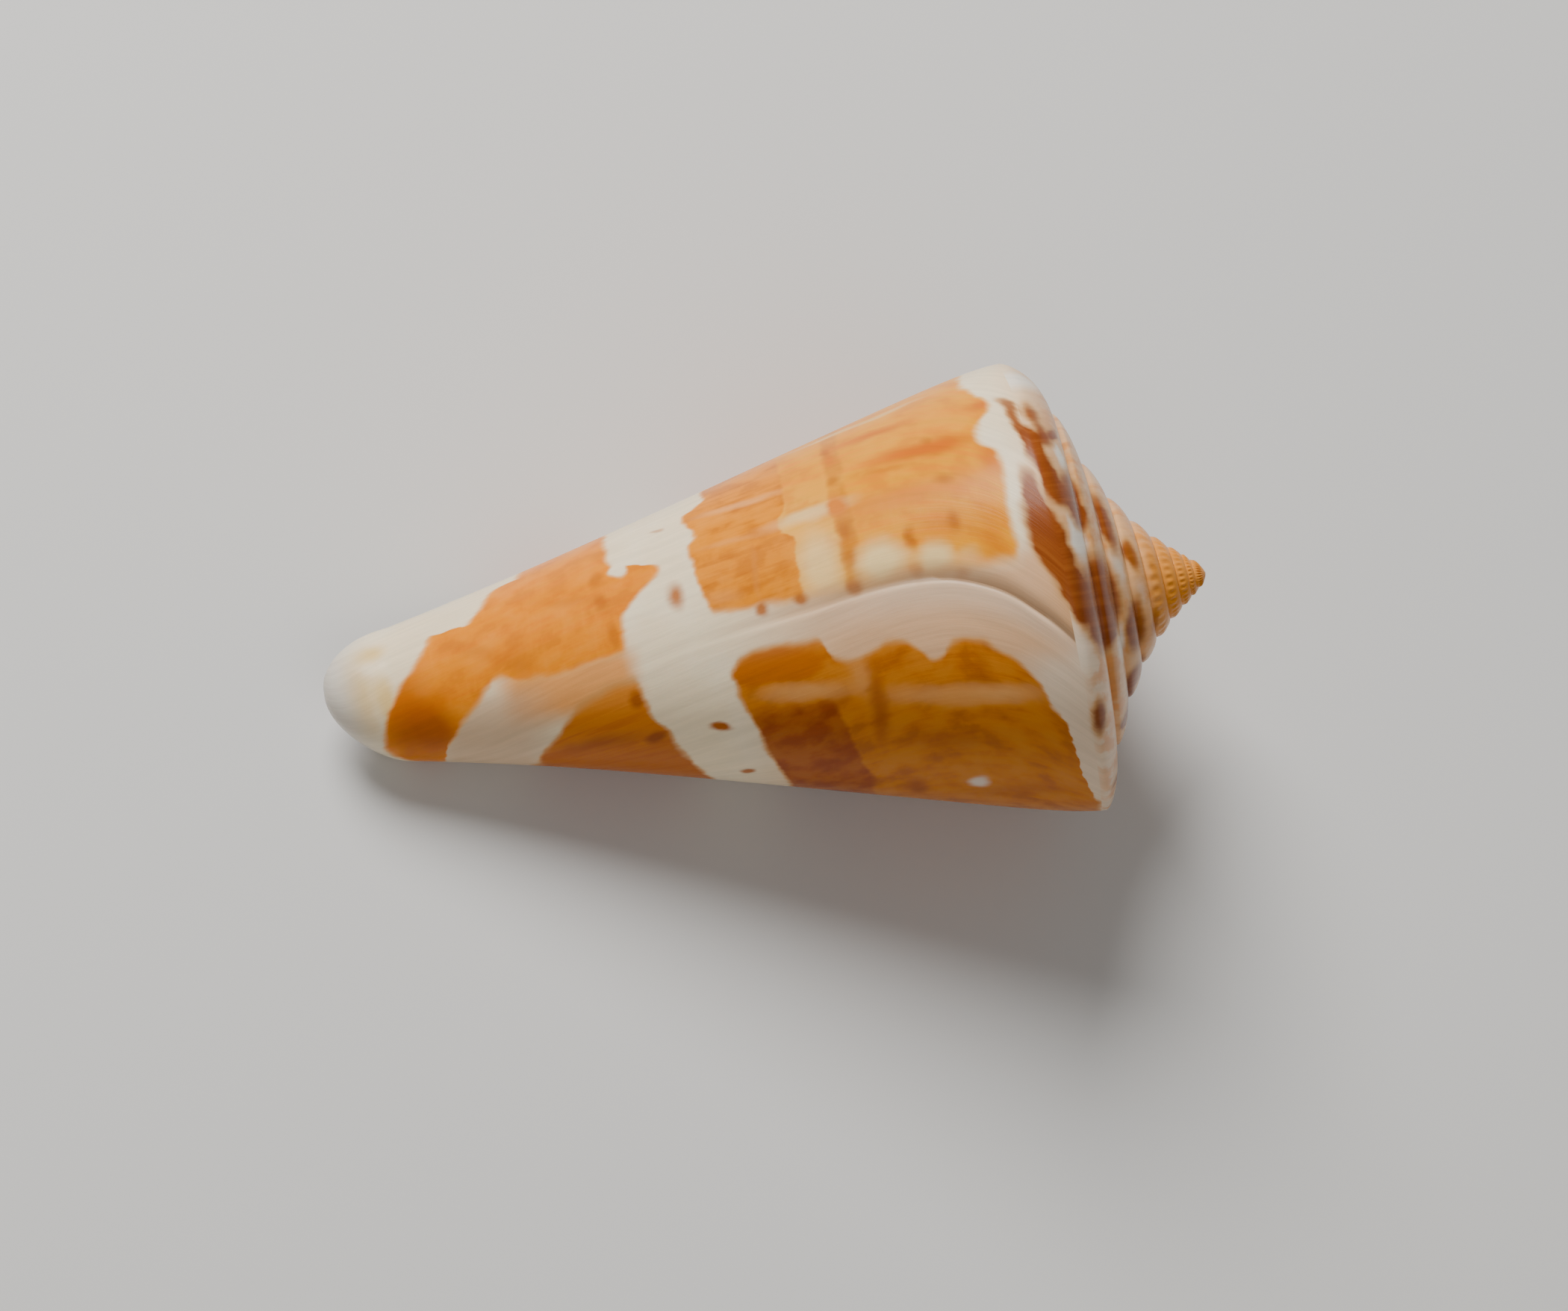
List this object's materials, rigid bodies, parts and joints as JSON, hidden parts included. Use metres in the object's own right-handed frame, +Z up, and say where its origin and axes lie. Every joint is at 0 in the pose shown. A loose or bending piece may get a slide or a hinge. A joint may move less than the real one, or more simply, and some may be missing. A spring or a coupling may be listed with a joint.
{
  "type": "cone shell",
  "caption": "Slender conical sea-snail shell with a stepped, concave spire, a rounded shoulder, a narrow full-length aperture and an old lip scar; lies at rest on its aperture side.",
  "frame": {"origin": "centre of the bounding box in plan, at the level of the small flat that the shell rests on", "axes": "+X along the shell towards the apex, +Y across it, on the side of the outer lip, +Z up from the rest flat"},
  "size_m": [0.0392, 0.0208, 0.0189],
  "materials": {
    "shell": "glossy, porcelain-like calcium carbonate with orange and brown pigment on cream"
  },
  "bodies": {
    "root": {"shell": "shell"}
  },
  "joints": []
}
